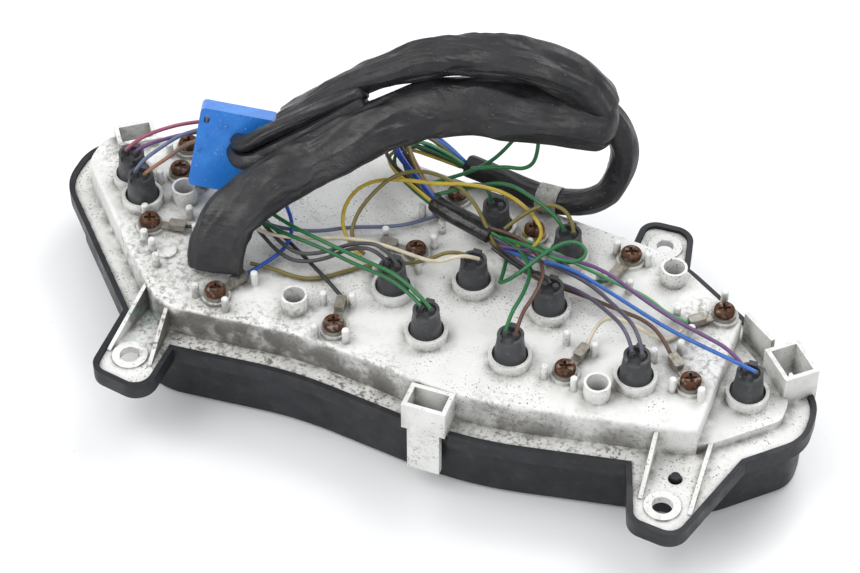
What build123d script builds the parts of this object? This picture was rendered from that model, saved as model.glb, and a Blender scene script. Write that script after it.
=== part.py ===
"""Motorcycle instrument cluster lying face down: the lens faces -Z, the back with its lamps faces +Z.

X runs along the cluster and -Y is the side with the two mounting tabs. Lengths are in millimetres.
Plan positions are given from the point midway between those two tabs.
"""
import os
from math import atan2, cos, degrees, pi, radians, sin, tan

from build123d import *

os.makedirs("parts", exist_ok=True)

# ---- Heights, from the front rim up -------------------------------------------------------------
BODY_HEIGHT = 22.5  # bezel wall below the groove
GROOVE_HEIGHT = 2.0
LEDGE = 3.0  # bezel ledge that carries the case flange
FLANGE = 2.5
LIP_RISE = 1.5  # the bezel lip stands this far above the flange
PLATEAU_RISE = 14.0
LOW_RISE = 4.0
SKIRT_Z = BODY_HEIGHT + GROOVE_HEIGHT
FLANGE_Z = SKIRT_Z + LEDGE
BACK_Z = FLANGE_Z + FLANGE
PLATEAU_Z = BACK_Z + PLATEAU_RISE
LOW_Z = BACK_Z + LOW_RISE

# ---- Plan of the case flange --------------------------------------------------------------------
MIDDLE = 12.0  # from the middle of the outline to the point midway between the front tabs
CORNERS = [
    (-172.5, 42), (-172.5, 16), (-107, -54.5), (-45, -49.5), (28, -59), (119, -42.5),
    (148.5, -14.5), (148.5, 4.5), (118, 31.5), (78, 58.5), (-62, 75),
]
CORNER_RADII = [18, 20, 30, 150, 150, 40, 16, 16, 100, 50, 120]
TAB_SPACING = 216.8
TAB_Y = -63.5
BACK_TAB = (70.5, 66.7)
LEFT_TAB = [(-118.7, -32), (-118, -74), (-96.5, -78), (-95.8, -45)]
RIGHT_TAB = [(88.5, -38), (100.3, -73.2), (116.6, -75.2), (130.5, -30)]
REAR_TAB = [(60.3, 50), (60.5, 76), (77.5, 76.5), (82.5, 50)]
TAB_RADII = [1, 5, 6, 1]
TAB_BORE = 8.0
BACK_TAB_BORE = 7.0
SEAT_WIDTH = 14.0
SEAT_RISE = 0.8

# ---- Walls and clearances -----------------------------------------------------------------------
WALL = 2.2
BEZEL_WALL = 3.0
LIP_WALL = 2.4
FIT = 0.2  # gap between pieces that are put together
RUNNING = 0.05  # radial gap of a turning pair
PLATEAU_INSET = 7.5
LOW_INSET = 9.0
BODY_INSET = 1.5
STEP_X = 113.0  # where the plateau drops to its low end
WINDOW_INSET = 10.0
LENS = 2.5
LENS_Z = 2.0
LEDGE_INSET = 7.0
SEAL = 1.2
SEAL_INSET = 3.0
SEAL_WIDTH = 2.0

# ---- Lamps, wells, terminals and posts on the back ----------------------------------------------
LAMPS = [
    (-142, 15), (-133, 4.5), (-19.5, -8), (1, -25.5), (9, 6), (35.5, -26.5),
    (41.5, 3), (7, 38), (39, 33), (83.5, -20), (124, -4.5),
]
LOW_LAMP = 10
COLLAR_WIDTH = 16.8
COLLAR_BORE = 14.0
COLLAR_RISE = 4.5
LAMP_HOLE = 10.8
HOLDER_RISE = 13.0
HOLDER_BASE = 13.4
HOLDER_TOP = 10.4
WELLS = [(-117.3, 11.5), (-52.3, -29.3), (81.8, 36.7), (72, -31.7)]
WELL_WIDTH = 10.4
WELL_BORE = 8.4
WELL_RISE = 7.5
WELL_FLOOR = 8.0  # how far the screw seat lies below the plateau
COLUMN_END = 22.0
SCREW_WIDTH = 4.0
# Terminal screws: place, direction of the crimp barrel in degrees.
TERMINALS = [
    (-124, -8, 11), (-125, 24, -15), (-128, 39, 20), (-83.5, -34.5, 61), (-33.5, -35, 99),
    (-18, 14, 179), (-13.5, 50, -106), (22.5, 41, -110), (63, 41, -104), (106, 24, -140),
    (104, -15.5, 135), (57.5, -26, 75),
]
PAD_WIDTH = 11.5
PAD_RISE = 1.5
TAG = 0.8  # thickness of a ring terminal
TAG_WIDTH = 9.6
TAG_LENGTH = 15.0
WASHER = 0.8
HEAD_WIDTH = 8.2
HEAD = 2.6
POST_WIDTH = 3.0
POST_RISE = 7.0
POSTS = [
    (-128.2, -3.2), (-122.5, -16.5), (-117.5, -20), (-112.5, -27), (-111, 2), (-131, 17),
    (-120, 31), (-134, 33), (-104.5, -6.5), (-91, -37), (-77, -40), (-72, -23), (-42.5, -23.5),
    (-31.5, -20.5), (-39, -41), (-27, -39), (-13, 21), (-14, 5.5), (-29, -1.5), (-23.5, 36),
    (-32.5, 18.2), (-13, 30.5), (23.5, 32), (56.5, 43), (70, 41), (55, 25), (67.5, 24),
    (53, -10.5), (65, -12.5), (50.5, -30), (63, -32), (104, 31.5), (89, 17), (97, 9),
    (95.5, 0), (87, -7.5), (98, -19.5), (109.5, -20.5),
]
FLAT_PAD = (-112, -18.5)
FLAT_PAD_WIDTH = 8.0

# ---- Clip sockets: centre, inner length and width, turn, top, foot of the walls, floor -----------
SOCKET_WALL = 1.8
LEFT_SOCKET = (-151.5, 37.5, 12.9, 8.9, 36, BACK_Z + 18, FLANGE_Z, BACK_Z)
FRONT_SOCKET = (13.1, -55.6, 14.0, 8.4, 0, PLATEAU_Z, BACK_Z + 1, PLATEAU_Z - 12)
RIGHT_SOCKET = (136.7, 11.6, 14.1, 10.8, -48, PLATEAU_Z, FLANGE_Z, FLANGE_Z)
LEG_WIDTH = 13.0
LEG_END = 9.0
LEG_THICK = 3.0
LEG_Y = FRONT_SOCKET[1] - FRONT_SOCKET[3] / 2 - SOCKET_WALL  # the leg's front face

# ---- Inside -------------------------------------------------------------------------------------
DIAL_Z = 11.0
DIAL = 1.0
GUIDE = 1.5
CARRIER = 2.5
GUIDE_Z = DIAL_Z + DIAL
CARRIER_Z = GUIDE_Z + GUIDE
CARRIER_TOP = CARRIER_Z + CARRIER
INNER_INSET = 11.5
BOARD = 1.6
BOARD_Z = 34.0
BOARD_SPLIT = -7.0
SPACER_WIDTH = 6.0
LAMP_OPENING = 9.0
SPINDLE = 2.4
HUB_WIDTH = 9.0
NEEDLE_Z = 7.0
HUB_HEIGHT = 3.0
BLADE = 1.0
# Gauges: name, centre, needle length, movement width and height, needle rest angle in degrees.
GAUGES = {
    "speedometer": (-66, 10, 37, 24, 15.5, 135),
    "tachometer": (60, 6, 30, 24, 15.5, 135),
    "temperature": (-131, 26.5, 14, 17, 12.5, 225),
    "fuel": (113, 6, 17, 18, 11.5, 225),
}
WHEELS = 6
WHEEL_WIDTH = 4.0
WHEEL_GAP = 0.4
WHEEL_DIAMETER = 11.0
WHEEL_AXLE = 2.0
MOTOR = 9.0
ODOMETER = (-66, 31)
ODOMETER_Z = CARRIER_Z + WHEEL_DIAMETER / 2 - 0.6
TELLTALES = [2, 3, 4, 5, 7]  # lamps that light a coloured window
BULB = 5.0
BULB_LENGTH = 17.0
BARREL = 7.0
BARREL_RISE = 3.0
WIRE = 1.6
WIRE_SPLIT = 2.0
STUB = 3.0
# ---- Harness ------------------------------------------------------------------------------------
PLUG_LENGTH = 31.0
PLUG_HEIGHT = 33.0
PLUG_DEPTH = 12.0
PLUG_WALL = 1.6
ROUTE_PLATEAU = 44.0  # the plateau height that the loom's heights below are given for
LIFT = PLATEAU_Z - ROUTE_PLATEAU
PLUG = Plane(origin=(-98.6, 19.8, 68.6 + LIFT), x_dir=(0.94, 0.28, -0.19), z_dir=(0.34, -0.85, 0.41))
TRUNK_WIDTH = 11.0
SHRINK_WIDTH = 8.0
ARM_WIDTH = 18.0
TAPE = 0.4
BAND_START = 0.12  # share of the way along the trunk's third stretch
BAND_LENGTH = 9.0
TRUNK = [
    (-15, 64.5, 50), (1, 62, 50), (17, 57.5, 50), (33, 56.5, 51), (46, 59, 57),
    (51, 63, 69), (51, 66, 82), (45, 66, 94), (36, 64, 102),
]
SHRINK = [(-18, 34, 55.5), (-9, 30, 56), (1, 27, 56), (10, 24.5, 55)]
FRONT_ARM = [
    (40, 61, 97), (12, 50, 104), (-18, 42, 105), (-42, 33, 93), (-64, 20, 82), (-82, 3, 74),
    (-90, -14, 67), (-89, -20, 54),
]
UPPER_ARM = [
    (38, 64, 102), (34, 60, 115), (12, 55, 124), (-15, 51, 121), (-42, 48, 108), (-64, 44, 92), (-82, 36, 77),
]
# Wires, by the piece that holds them. Each starts at its lamp holder or terminal.
WIRES = {
    "left_lamp_wires": [
        [(-144, 15, 60), (-139, 15, 67), (-131, 21, 70), (-124, 33, 66), (-118, 46, 58)],
        [(-140, 15, 60), (-136, 13, 66), (-128, 20, 67), (-122, 32, 62), (-116, 44, 55)],
        [(-135, 4.5, 60), (-132, 3, 67), (-126, 10, 71), (-123, 23, 68), (-120, 36, 61), (-119, 48, 54)],
        [(-131, 4.5, 60), (-128, 2, 65), (-123, 9, 67), (-121, 22, 64), (-119, 34, 58), (-115, 46, 51)],
    ],
    "middle_lamp_wires": [
        [(-21.5, -8, 60), (-27, -7, 65), (-39, -4, 58), (-49, -6, 50), (-59, -10, 48.5), (-68, -8, 49),
         (-77, -2, 50)],
        [(-17.5, -8, 60), (-23, -6, 67), (-37, -3, 61), (-49, -5, 53), (-59, -8, 51), (-68, -5, 51.5),
         (-77, 1, 52.5)],
        [(-1, -25.5, 60), (-12, -19, 63), (-33, -11, 57), (-50, -4, 55.5), (-66, 0, 55), (-78, 4, 54.5)],
        [(3, -25.5, 60), (-10, -19, 66), (-31, -10, 60), (-49, -3, 58), (-65, 3, 57), (-77, 7, 57)],
        [(7, 6, 60), (1, 5, 63), (-10, 2, 55), (-21, 4, 48), (-32, 2.5, 45.2), (-41, -5, 45.2),
         (-49, -12.5, 45.2), (-58, -15, 45.2), (-68, -13, 46)],
        [(11, 6, 60), (6, 2, 65), (-4, 0, 58), (-17, 5, 53.5), (-31, 8, 52), (-44, 6, 52.5), (-54, 1.5, 53),
         (-65, -3, 53), (-76, -5, 52)],
    ],
    "upper_lamp_wires": [
        [(5, 38, 60), (4, 39, 66), (-3, 40, 66), (-12, 38, 60), (-21, 36, 56)],
        [(37, 33, 60), (34, 33, 66), (23, 38.5, 67), (9, 44, 67), (-5, 41, 62), (-16, 35, 60)],
        [(41, 33, 60), (39, 36, 66), (30, 38, 68), (20, 35, 62), (14, 28, 57)],
    ],
    "lower_lamp_wires": [
        [(33.5, -26.5, 60), (34, -23, 66), (34, -12, 63), (33, -2, 59), (32, 8, 58), (27, 17, 56)],
        [(37.5, -26.5, 60), (38, -22, 67), (39, -11, 65), (39, -1, 64), (37, 8, 63), (31, 16, 61)],
        [(41.5, 3, 60), (38, 6, 61.5), (30, 10, 56), (21, 15, 53.5), (12, 20, 53.5)],
    ],
    "right_lamp_wires": [
        [(81.5, -20, 60), (78, -15, 65), (66, -3, 60), (53, 9, 53.5), (40, 14, 50), (26, 19, 48)],
        [(85.5, -20, 60), (82, -14, 66), (69, 0, 60), (55, 12, 56), (41, 17, 55), (28, 20, 53.5)],
        [(122, -4.5, 50), (116, -2, 55), (103, 4, 53), (89, 9.5, 51.5), (74, 15, 53), (58, 19.5, 58),
         (42, 19.5, 59), (28, 18, 59), (15, 21.5, 54)],
        [(126, -4.5, 50), (118, -5, 53), (104, 1, 50), (90, 6, 48.5), (75, 11, 49.5), (59, 14, 54),
         (43, 16.5, 58), (28, 15, 57), (14, 24, 51)],
    ],
    "left_gauge_wires": [
        [(-109.3, -5, 46.6), (-101, -3, 47), (-92, 0, 48.5), (-81, 5, 51.5)],
        [(-76.2, -21.2, 46.6), (-71, -13, 47), (-66, -4, 49), (-66, 6, 52), (-73, 13, 56)],
        [(-35.8, -20, 46.6), (-44, -14.5, 47.5), (-54, -7.5, 47), (-63, -2, 47.5), (-73, 4, 49.5)],
        [(-17.6, 35.5, 46.6), (-25, 27, 47), (-36, 21.5, 47), (-48, 17, 47), (-58, 10, 47.5), (-67, 6, 49),
         (-77, 2, 51)],
    ],
    "tachometer_wires": [
        [(17.5, 26.8, 46.6), (20, 21, 50), (27, 22, 55), (30, 30, 58), (23, 37, 60), (11, 41, 64),
         (-3, 37, 68), (-16, 31, 69), (-29, 30, 68), (-41, 30, 64), (-49, 26, 59), (-51, 17, 54),
         (-46, 8, 50), (-37, 2, 48)],
        [(18.5, 27.5, 48.2), (14, 21, 51), (9, 24, 57), (1, 31, 64), (-10, 35, 69), (-22, 35, 71),
         (-33, 31, 69), (-40, 23, 63), (-44, 14, 57), (-43, 6, 51), (-36, 4, 48)],
        [(59.4, 26.2, 46.6), (57.5, 21, 49), (50, 16.5, 52), (39, 22, 55), (28, 24, 55)],
        [(61.4, -11.3, 46.6), (62, -5, 51), (66, 1, 53), (75, 3, 50), (84, 2.5, 46.5), (91, 4, 45.5),
         (93, 10, 46)],
    ],
    "right_gauge_wires": [
        [(94.4, 14.3, 46.6), (86, 14, 48), (77, 18.5, 50), (64, 20.5, 51), (51, 23, 52), (37, 26, 53)],
        [(93.3, -4.8, 46.6), (88, 1, 49.5), (79, 7, 49.5), (67, 10, 48), (54, 13, 47.5), (42, 14.5, 47)],
    ],
    "loose_loops": [
        [(10, 26.5, 54), (21, 19, 61), (33, 13, 66), (43, 9.5, 67), (51, 12, 67), (51, 19, 67.5), (44, 20, 69),
         (37, 11, 69), (29, 2, 62), (21, 1, 54), (20, 9, 50.5), (18.5, 18, 51)],
        [(8, 60, 78), (3, 55, 70), (-5, 50, 64), (-14, 46, 60), (-24, 41, 57)],
        [(18, 56, 84), (19, 53, 75), (15, 50, 70), (6, 48, 71), (-6, 44, 69)],
        [(-15, 64, 52), (-25, 66, 58), (-36, 66, 64), (-44, 59, 66), (-40, 50, 64), (-29, 42, 60),
         (-18, 35, 57)],
        [(-15, 62.5, 50), (-24, 62, 54), (-34, 61, 58), (-39, 54, 60), (-35, 46, 58), (-27, 39.5, 56),
         (-18, 33.5, 55)],
        [(-15, 66, 49), (-26, 70, 55), (-39, 70, 60), (-48, 62, 62), (-47, 52, 60), (-37, 44, 57),
         (-28, 38, 54.5), (-18, 34, 53.5)],
    ],
}


def save(piece, name):
    """Move a finished piece so that the origin is the middle of the outline, name it and write it."""
    shift = Location((MIDDLE, 0, 0))
    piece = Compound(children=[solid.moved(shift) for solid in piece.solids()])
    piece.label = name
    export_step(piece, f"parts/{name}.step")


def outline(height, inset):
    """The flange's plan without its tabs, moved inwards by inset, at a height."""
    with BuildSketch(Plane.XY.offset(height)) as plan:
        with BuildLine():
            FilletPolyline(*CORNERS, radius=CORNER_RADII, close=True)
        make_face()
        if inset:
            offset(amount=-inset)
    return plan.sketch


def flange_plan(height, grow):
    """The flange's plan with its three tabs, moved outwards by grow."""
    with BuildSketch(Plane.XY.offset(height)) as plan:
        with BuildLine():
            FilletPolyline(*CORNERS, radius=CORNER_RADII, close=True)
        make_face()
        for corners in (LEFT_TAB, RIGHT_TAB, REAR_TAB):
            with BuildLine():
                FilletPolyline(*corners, radius=TAB_RADII, close=True)
            make_face()
        if grow:
            offset(amount=grow)
    return plan.sketch


def high_plan(height, inset):
    """The plan of the high part of the plateau, up to the step."""
    with BuildSketch(Plane.XY.offset(height)) as plan:
        add(outline(0, PLATEAU_INSET + inset))
        with Locations((STEP_X - inset - 200, 0)):
            Rectangle(400, 300, mode=Mode.INTERSECT)
    return plan.sketch


def low_plan(height, inset):
    """The plan of the low part of the plateau, from the high part's inside wall on."""
    with BuildSketch(Plane.XY.offset(height)) as plan:
        add(outline(0, LOW_INSET + inset))
        with Locations((STEP_X - WALL - inset + 100, 0)):
            Rectangle(200, 300, mode=Mode.INTERSECT)
    return plan.sketch


def roof(index):
    """The height of the plateau at a lamp."""
    return LOW_Z if index == LOW_LAMP else PLATEAU_Z


def bend_radii(route):
    """The largest bend at each inner point that its two runs leave room for."""
    stops = [Vector(*stop) for stop in route]
    radii = []
    for before, here, after in zip(stops, stops[1:], stops[2:]):
        run = min((here - before).length, (after - here).length)
        turn = (here - before).get_angle(after - here)
        radii.append(0.45 * run / tan(radians(turn) / 2))
    return radii


def tube(route, width):
    """A round cord along a route of straight runs and arcs."""
    points = [(x, y, z + LIFT) for x, y, z in route]
    with BuildPart() as cord:
        with BuildLine() as path:
            FilletPolyline(*points, radius=bend_radii(points))
        with BuildSketch(Plane(origin=points[0], z_dir=path.line % 0)):
            Circle(width / 2)
        sweep(path=path.line)
    length = path.wire().length
    share = cord.part.volume / (length * pi * width ** 2 / 4)
    print(f"length {length:.0f}, tightest bend {min(bend_radii(route)):.1f}, volume share {share:.3f}")
    return cord.part


def socket_plan(socket, height, grow):
    """The rectangle of a clip socket's hole, grown by grow on each side."""
    x, y, length, width, turn = socket[:5]
    with BuildSketch(Plane.XY.offset(height)) as plan:
        with Locations(Location((x, y, 0), (0, 0, turn))):
            Rectangle(length + 2 * grow, width + 2 * grow)
    return plan.sketch


def discs(places, height, diameter):
    """Circles of one diameter at a list of places."""
    with BuildSketch(Plane.XY.offset(height)) as plan:
        with Locations(*[(place[0], place[1]) for place in places]):
            Circle(diameter / 2)
    return plan.sketch


def block(height, places, length, width):
    """Rectangles of one size at a list of places."""
    with BuildSketch(Plane.XY.offset(height)) as plan:
        with Locations(*[(place[0], place[1]) for place in places]):
            Rectangle(length, width)
    return plan.sketch


def seal_plan(height):
    """The closed band in which the seal lies."""
    with BuildSketch(Plane.XY.offset(height)) as plan:
        add(outline(0, SEAL_INSET))
        add(outline(0, SEAL_INSET + SEAL_WIDTH), mode=Mode.SUBTRACT)
    return plan.sketch


def rib_plane(x, y, turn):
    """A vertical plane through a place, with its own X pointing along turn."""
    along = (cos(radians(turn)), sin(radians(turn)), 0)
    across = (sin(radians(turn)), -cos(radians(turn)), 0)
    return Plane(origin=(x, y, BACK_Z), x_dir=along, z_dir=across)


def rib(start, end, rise):
    """A triangular gusset from the plateau wall down to the tab."""
    run = Vector(*end) - Vector(*start)
    turn = degrees(atan2(run.Y, run.X))
    with BuildPart() as gusset:
        with BuildSketch(rib_plane(*start, turn)):
            with BuildLine():
                Polyline((0, -1), (run.length, -1), (run.length, 0.6), (2, rise), (0, rise), close=True)
            make_face()
        extrude(amount=0.8, both=True)
    return gusset.part


FRONT_TABS = [(-TAB_SPACING / 2, TAB_Y), (TAB_SPACING / 2, TAB_Y)]
HIGH_LAMPS = [lamp for number, lamp in enumerate(LAMPS) if number != LOW_LAMP]
SOCKETS = [LEFT_SOCKET, FRONT_SOCKET, RIGHT_SOCKET]
PIN = (FRONT_TABS[1][0] + 0.7, TAB_Y + 14.4)
PIN_WIDTH = 3.6
PIN_HOLE = 5.6
# Ribs on the front wall: start, end, height at the wall. Webs beside the end sockets: centre, turn, length.
RIBS = [
    ((-112.5, -36), (-117.3, -64), 13), ((-100.5, -42), (-99, -66), 13),
    ((97.5, -33), (99.6, -63), 13), ((117.3, -28), (119, -64), 4),
]
WEBS = [(120.5, 24.5, -38, 17), (-141, 31, -34, 18)]
WEB = 1.8

# ---- White rear case ----------------------------------------------------------------------------
with BuildPart() as rear_case:
    extrude(flange_plan(FLANGE_Z, 0), amount=FLANGE)
    extrude(high_plan(BACK_Z, 0), amount=PLATEAU_RISE)
    fillet(rear_case.faces().sort_by(Axis.Z)[-1].edges(), 1.6)
    extrude(low_plan(BACK_Z, 0), amount=LOW_RISE)
    extrude(discs(FRONT_TABS + [BACK_TAB], BACK_Z, SEAT_WIDTH), amount=SEAT_RISE)
    with BuildSketch(Plane.XY.offset(LEG_END)):
        with Locations((FRONT_SOCKET[0], LEG_Y)):
            Rectangle(LEG_WIDTH, LEG_THICK, align=(Align.CENTER, Align.MIN))
    extrude(amount=BACK_Z + 1 - LEG_END)
    with BuildSketch(Plane.XY.offset(BACK_Z)):
        with Locations((FRONT_SOCKET[0], FRONT_SOCKET[1])):
            Rectangle(LEG_WIDTH + 4, 16, align=(Align.CENTER, Align.MIN))
    extrude(amount=PLATEAU_RISE - 1.6)
    for start, end, top in RIBS:
        add(rib(start, end, top))
    with BuildSketch(Plane.XY.offset(BACK_Z)):
        for x, y, turn, length in WEBS:
            with Locations(Location((x, y, 0), (0, 0, turn))):
                Rectangle(length, WEB)
    extrude(amount=PLATEAU_RISE)
    # The hollow inside, and the wall that steps down to the low end.
    extrude(high_plan(FLANGE_Z - 0.5, WALL), amount=PLATEAU_Z - WALL - FLANGE_Z + 0.5, mode=Mode.SUBTRACT)
    extrude(low_plan(FLANGE_Z - 0.5, WALL), amount=LOW_Z - WALL - FLANGE_Z + 0.5, mode=Mode.SUBTRACT)
    for socket in SOCKETS:
        top, foot = socket[5:7]
        extrude(socket_plan(socket, foot, SOCKET_WALL), amount=top - foot)
    for socket in SOCKETS:
        top, floor = socket[5], socket[7]
        extrude(socket_plan(socket, floor, 0), amount=top - floor + 1, mode=Mode.SUBTRACT)
    extrude(discs(HIGH_LAMPS, PLATEAU_Z - 0.5, COLLAR_WIDTH), amount=COLLAR_RISE + 0.5)
    extrude(discs([LAMPS[LOW_LAMP]], LOW_Z - 0.5, COLLAR_WIDTH), amount=COLLAR_RISE + 0.5)
    extrude(discs(HIGH_LAMPS, PLATEAU_Z, COLLAR_BORE), amount=COLLAR_RISE, mode=Mode.SUBTRACT)
    extrude(discs([LAMPS[LOW_LAMP]], LOW_Z, COLLAR_BORE), amount=COLLAR_RISE, mode=Mode.SUBTRACT)
    extrude(discs(LAMPS, FLANGE_Z, LAMP_HOLE), amount=PLATEAU_Z - FLANGE_Z, mode=Mode.SUBTRACT)
    extrude(discs(WELLS, COLUMN_END, WELL_WIDTH), amount=PLATEAU_Z + WELL_RISE - COLUMN_END)
    extrude(discs(WELLS, PLATEAU_Z - WELL_FLOOR, WELL_BORE), amount=WELL_FLOOR + WELL_RISE, mode=Mode.SUBTRACT)
    extrude(discs(WELLS, COLUMN_END, SCREW_WIDTH + FIT), amount=PLATEAU_Z - COLUMN_END, mode=Mode.SUBTRACT)
    extrude(discs(TERMINALS, PLATEAU_Z - 0.5, PAD_WIDTH), amount=PAD_RISE + 0.5)
    extrude(discs(TERMINALS, PLATEAU_Z - WALL, SCREW_WIDTH + FIT), amount=WALL + PAD_RISE, mode=Mode.SUBTRACT)
    extrude(discs([FLAT_PAD], PLATEAU_Z - 0.5, FLAT_PAD_WIDTH), amount=1.5)
    extrude(discs(POSTS, PLATEAU_Z - 0.5, POST_WIDTH), amount=POST_RISE + 0.5)
    post_tops = rear_case.edges().filter_by(GeomType.CIRCLE)
    post_tops = post_tops.filter_by(lambda rim: abs(rim.radius - POST_WIDTH / 2) < 0.01)
    fillet(post_tops.filter_by(lambda rim: rim.center().Z > PLATEAU_Z + POST_RISE - 0.1), 0.8)
    extrude(discs(FRONT_TABS, FLANGE_Z, TAB_BORE), amount=FLANGE + SEAT_RISE, mode=Mode.SUBTRACT)
    extrude(discs([BACK_TAB], FLANGE_Z, BACK_TAB_BORE), amount=FLANGE + SEAT_RISE, mode=Mode.SUBTRACT)
    extrude(discs([PIN], FLANGE_Z, PIN_HOLE), amount=FLANGE, mode=Mode.SUBTRACT)
save(rear_case.part, "rear_case")

# ---- Black front bezel, lens and seal -----------------------------------------------------------
with BuildPart() as front_bezel:
    extrude(outline(0, BODY_INSET), amount=BODY_HEIGHT)
    chamfer(front_bezel.faces().sort_by(Axis.Z)[0].edges(), 2)
    extrude(outline(BODY_HEIGHT, BODY_INSET + 2), amount=GROOVE_HEIGHT)
    extrude(flange_plan(SKIRT_Z, LIP_WALL), amount=LEDGE + FLANGE + LIP_RISE)
    extrude(flange_plan(FLANGE_Z, FIT), amount=FLANGE + LIP_RISE, mode=Mode.SUBTRACT)
    extrude(outline(LENS_Z, BODY_INSET + BEZEL_WALL), amount=SKIRT_Z - LENS_Z, mode=Mode.SUBTRACT)
    extrude(outline(SKIRT_Z, LEDGE_INSET), amount=LEDGE, mode=Mode.SUBTRACT)
    extrude(outline(0, WINDOW_INSET), amount=LENS_Z, mode=Mode.SUBTRACT)
    extrude(seal_plan(FLANGE_Z - SEAL), amount=SEAL, mode=Mode.SUBTRACT)
    extrude(discs(FRONT_TABS + [BACK_TAB], SKIRT_Z, SEAT_WIDTH), amount=LEDGE, mode=Mode.SUBTRACT)
    extrude(socket_plan(RIGHT_SOCKET, SKIRT_Z, 0), amount=LEDGE, mode=Mode.SUBTRACT)
    for socket in SOCKETS:
        notch = socket_plan(socket, FLANGE_Z, SOCKET_WALL + 2 * FIT)
        extrude(notch, amount=FLANGE + LIP_RISE, mode=Mode.SUBTRACT)
    with BuildSketch(Plane.XY.offset(LEG_END - 1)):
        with Locations((FRONT_SOCKET[0], LEG_Y - 2)):
            Rectangle(LEG_WIDTH + 5, LEG_THICK + 2 + 2 * FIT, align=(Align.CENTER, Align.MIN))
    extrude(amount=SKIRT_Z + 10 - LEG_END, mode=Mode.SUBTRACT)
    extrude(discs([PIN], FLANGE_Z, PIN_WIDTH), amount=FLANGE + 2)
save(front_bezel.part, "front_bezel")

with BuildPart() as case_seal:
    extrude(seal_plan(FLANGE_Z - SEAL), amount=SEAL)
save(case_seal.part, "case_seal")

with BuildPart() as clear_lens:
    extrude(outline(LENS_Z, BODY_INSET + BEZEL_WALL + FIT), amount=LENS)
save(clear_lens.part, "clear_lens")

# ---- Dial plate, lamp windows, light guide and carrier ------------------------------------------
CENTRES = [(gauge[0], gauge[1]) for gauge in GAUGES.values()]
WINDOWS = [LAMPS[number] for number in TELLTALES]
WHEEL_PITCH = WHEEL_WIDTH + WHEEL_GAP
ROW = WHEELS * WHEEL_PITCH

with BuildPart() as dial_plate:
    extrude(outline(DIAL_Z, INNER_INSET), amount=DIAL)
    extrude(discs(CENTRES, DIAL_Z, SPINDLE + 1.6), amount=DIAL, mode=Mode.SUBTRACT)
    extrude(block(DIAL_Z, WINDOWS, 8, 5.5), amount=DIAL, mode=Mode.SUBTRACT)
    extrude(block(DIAL_Z, [ODOMETER], ROW, 6), amount=DIAL, mode=Mode.SUBTRACT)
save(dial_plate.part, "dial_plate")

with BuildPart() as telltale_windows:
    extrude(block(DIAL_Z, WINDOWS, 8, 5.5), amount=DIAL)
save(telltale_windows.part, "telltale_windows")

for name, floor, thick in (("light_guide", GUIDE_Z, GUIDE), ("gauge_carrier", CARRIER_Z, CARRIER)):
    with BuildPart() as plate:
        extrude(outline(floor, INNER_INSET), amount=thick)
        if name == "gauge_carrier":
            extrude(discs(WELLS, CARRIER_Z, WELL_WIDTH), amount=COLUMN_END - CARRIER_Z)
        extrude(discs(WELLS, floor, SCREW_WIDTH + 2 * RUNNING), amount=20, mode=Mode.SUBTRACT)
        extrude(discs(LAMPS, floor, LAMP_OPENING), amount=thick, mode=Mode.SUBTRACT)
        extrude(discs(CENTRES, floor, SPINDLE + 4), amount=thick, mode=Mode.SUBTRACT)
        opening = block(floor, [ODOMETER], ROW + 1, WHEEL_DIAMETER + 2)
        extrude(opening, amount=thick, mode=Mode.SUBTRACT)
    save(plate.part, name)

# ---- Gauge movements and needles ----------------------------------------------------------------
for name, (x, y, length, width, height, rest) in GAUGES.items():
    top = CARRIER_TOP + height
    with BuildPart() as movement:
        extrude(discs([(x, y)], CARRIER_TOP, width), amount=height)
        fillet(movement.faces().sort_by(Axis.Z)[-1].edges(), 1)
        extrude(discs([(x, y)], top, width / 2), amount=1.5)
        extrude(discs([(x, y)], CARRIER_TOP, SPINDLE + 2 * RUNNING), amount=height - 3, mode=Mode.SUBTRACT)
    save(movement.part, f"{name}_movement")
    with BuildPart() as needle:
        extrude(discs([(x, y)], NEEDLE_Z, HUB_WIDTH), amount=HUB_HEIGHT)
        fillet(needle.faces().sort_by(Axis.Z)[0].edges(), 1)
        with BuildSketch(Plane(origin=(x, y, NEEDLE_Z + 1), x_dir=(cos(radians(rest)), sin(radians(rest)), 0))):
            with BuildLine():
                Polyline((-7, -1.6), (length, -0.5), (length, 0.5), (-7, 1.6), close=True)
            make_face()
        extrude(amount=BLADE)
        extrude(discs([(x, y)], NEEDLE_Z + 1, SPINDLE), amount=CARRIER_TOP + height - 4 - NEEDLE_Z - 1)
    save(needle.part, f"{name}_needle")

# ---- Odometer -----------------------------------------------------------------------------------
ROW_START = ODOMETER[0] - ROW / 2
ROW_END = ODOMETER[0] + ROW / 2
CHEEK = 1.6


def round_bar(start, end, diameter):
    """A round bar along X on the odometer's centre line."""
    with BuildPart() as bar:
        with BuildSketch(Plane(origin=(start, ODOMETER[1], ODOMETER_Z), z_dir=(1, 0, 0))):
            Circle(diameter / 2)
        extrude(amount=end - start)
    return bar.part


FRAME_TOP = ODOMETER_Z + WHEEL_DIAMETER / 2 + 1
with BuildPart() as odometer_frame:
    with BuildSketch(Plane.XY.offset(CARRIER_TOP)):
        with Locations((ROW_START - CHEEK / 2 - 0.6, ODOMETER[1]), (ROW_END + CHEEK / 2 + 0.6, ODOMETER[1])):
            Rectangle(CHEEK, WHEEL_DIAMETER + 1)
    extrude(amount=FRAME_TOP - CARRIER_TOP)
    with BuildSketch(Plane.XY.offset(FRAME_TOP)):
        with Locations((ODOMETER[0], ODOMETER[1])):
            Rectangle(ROW + 2 * CHEEK + 1.2, WHEEL_DIAMETER + 1)
    extrude(amount=1.5)
    add(round_bar(ROW_START - 4, ROW_END + 4, WHEEL_AXLE + 2 * RUNNING), mode=Mode.SUBTRACT)
save(odometer_frame.part, "odometer_frame")

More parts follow.
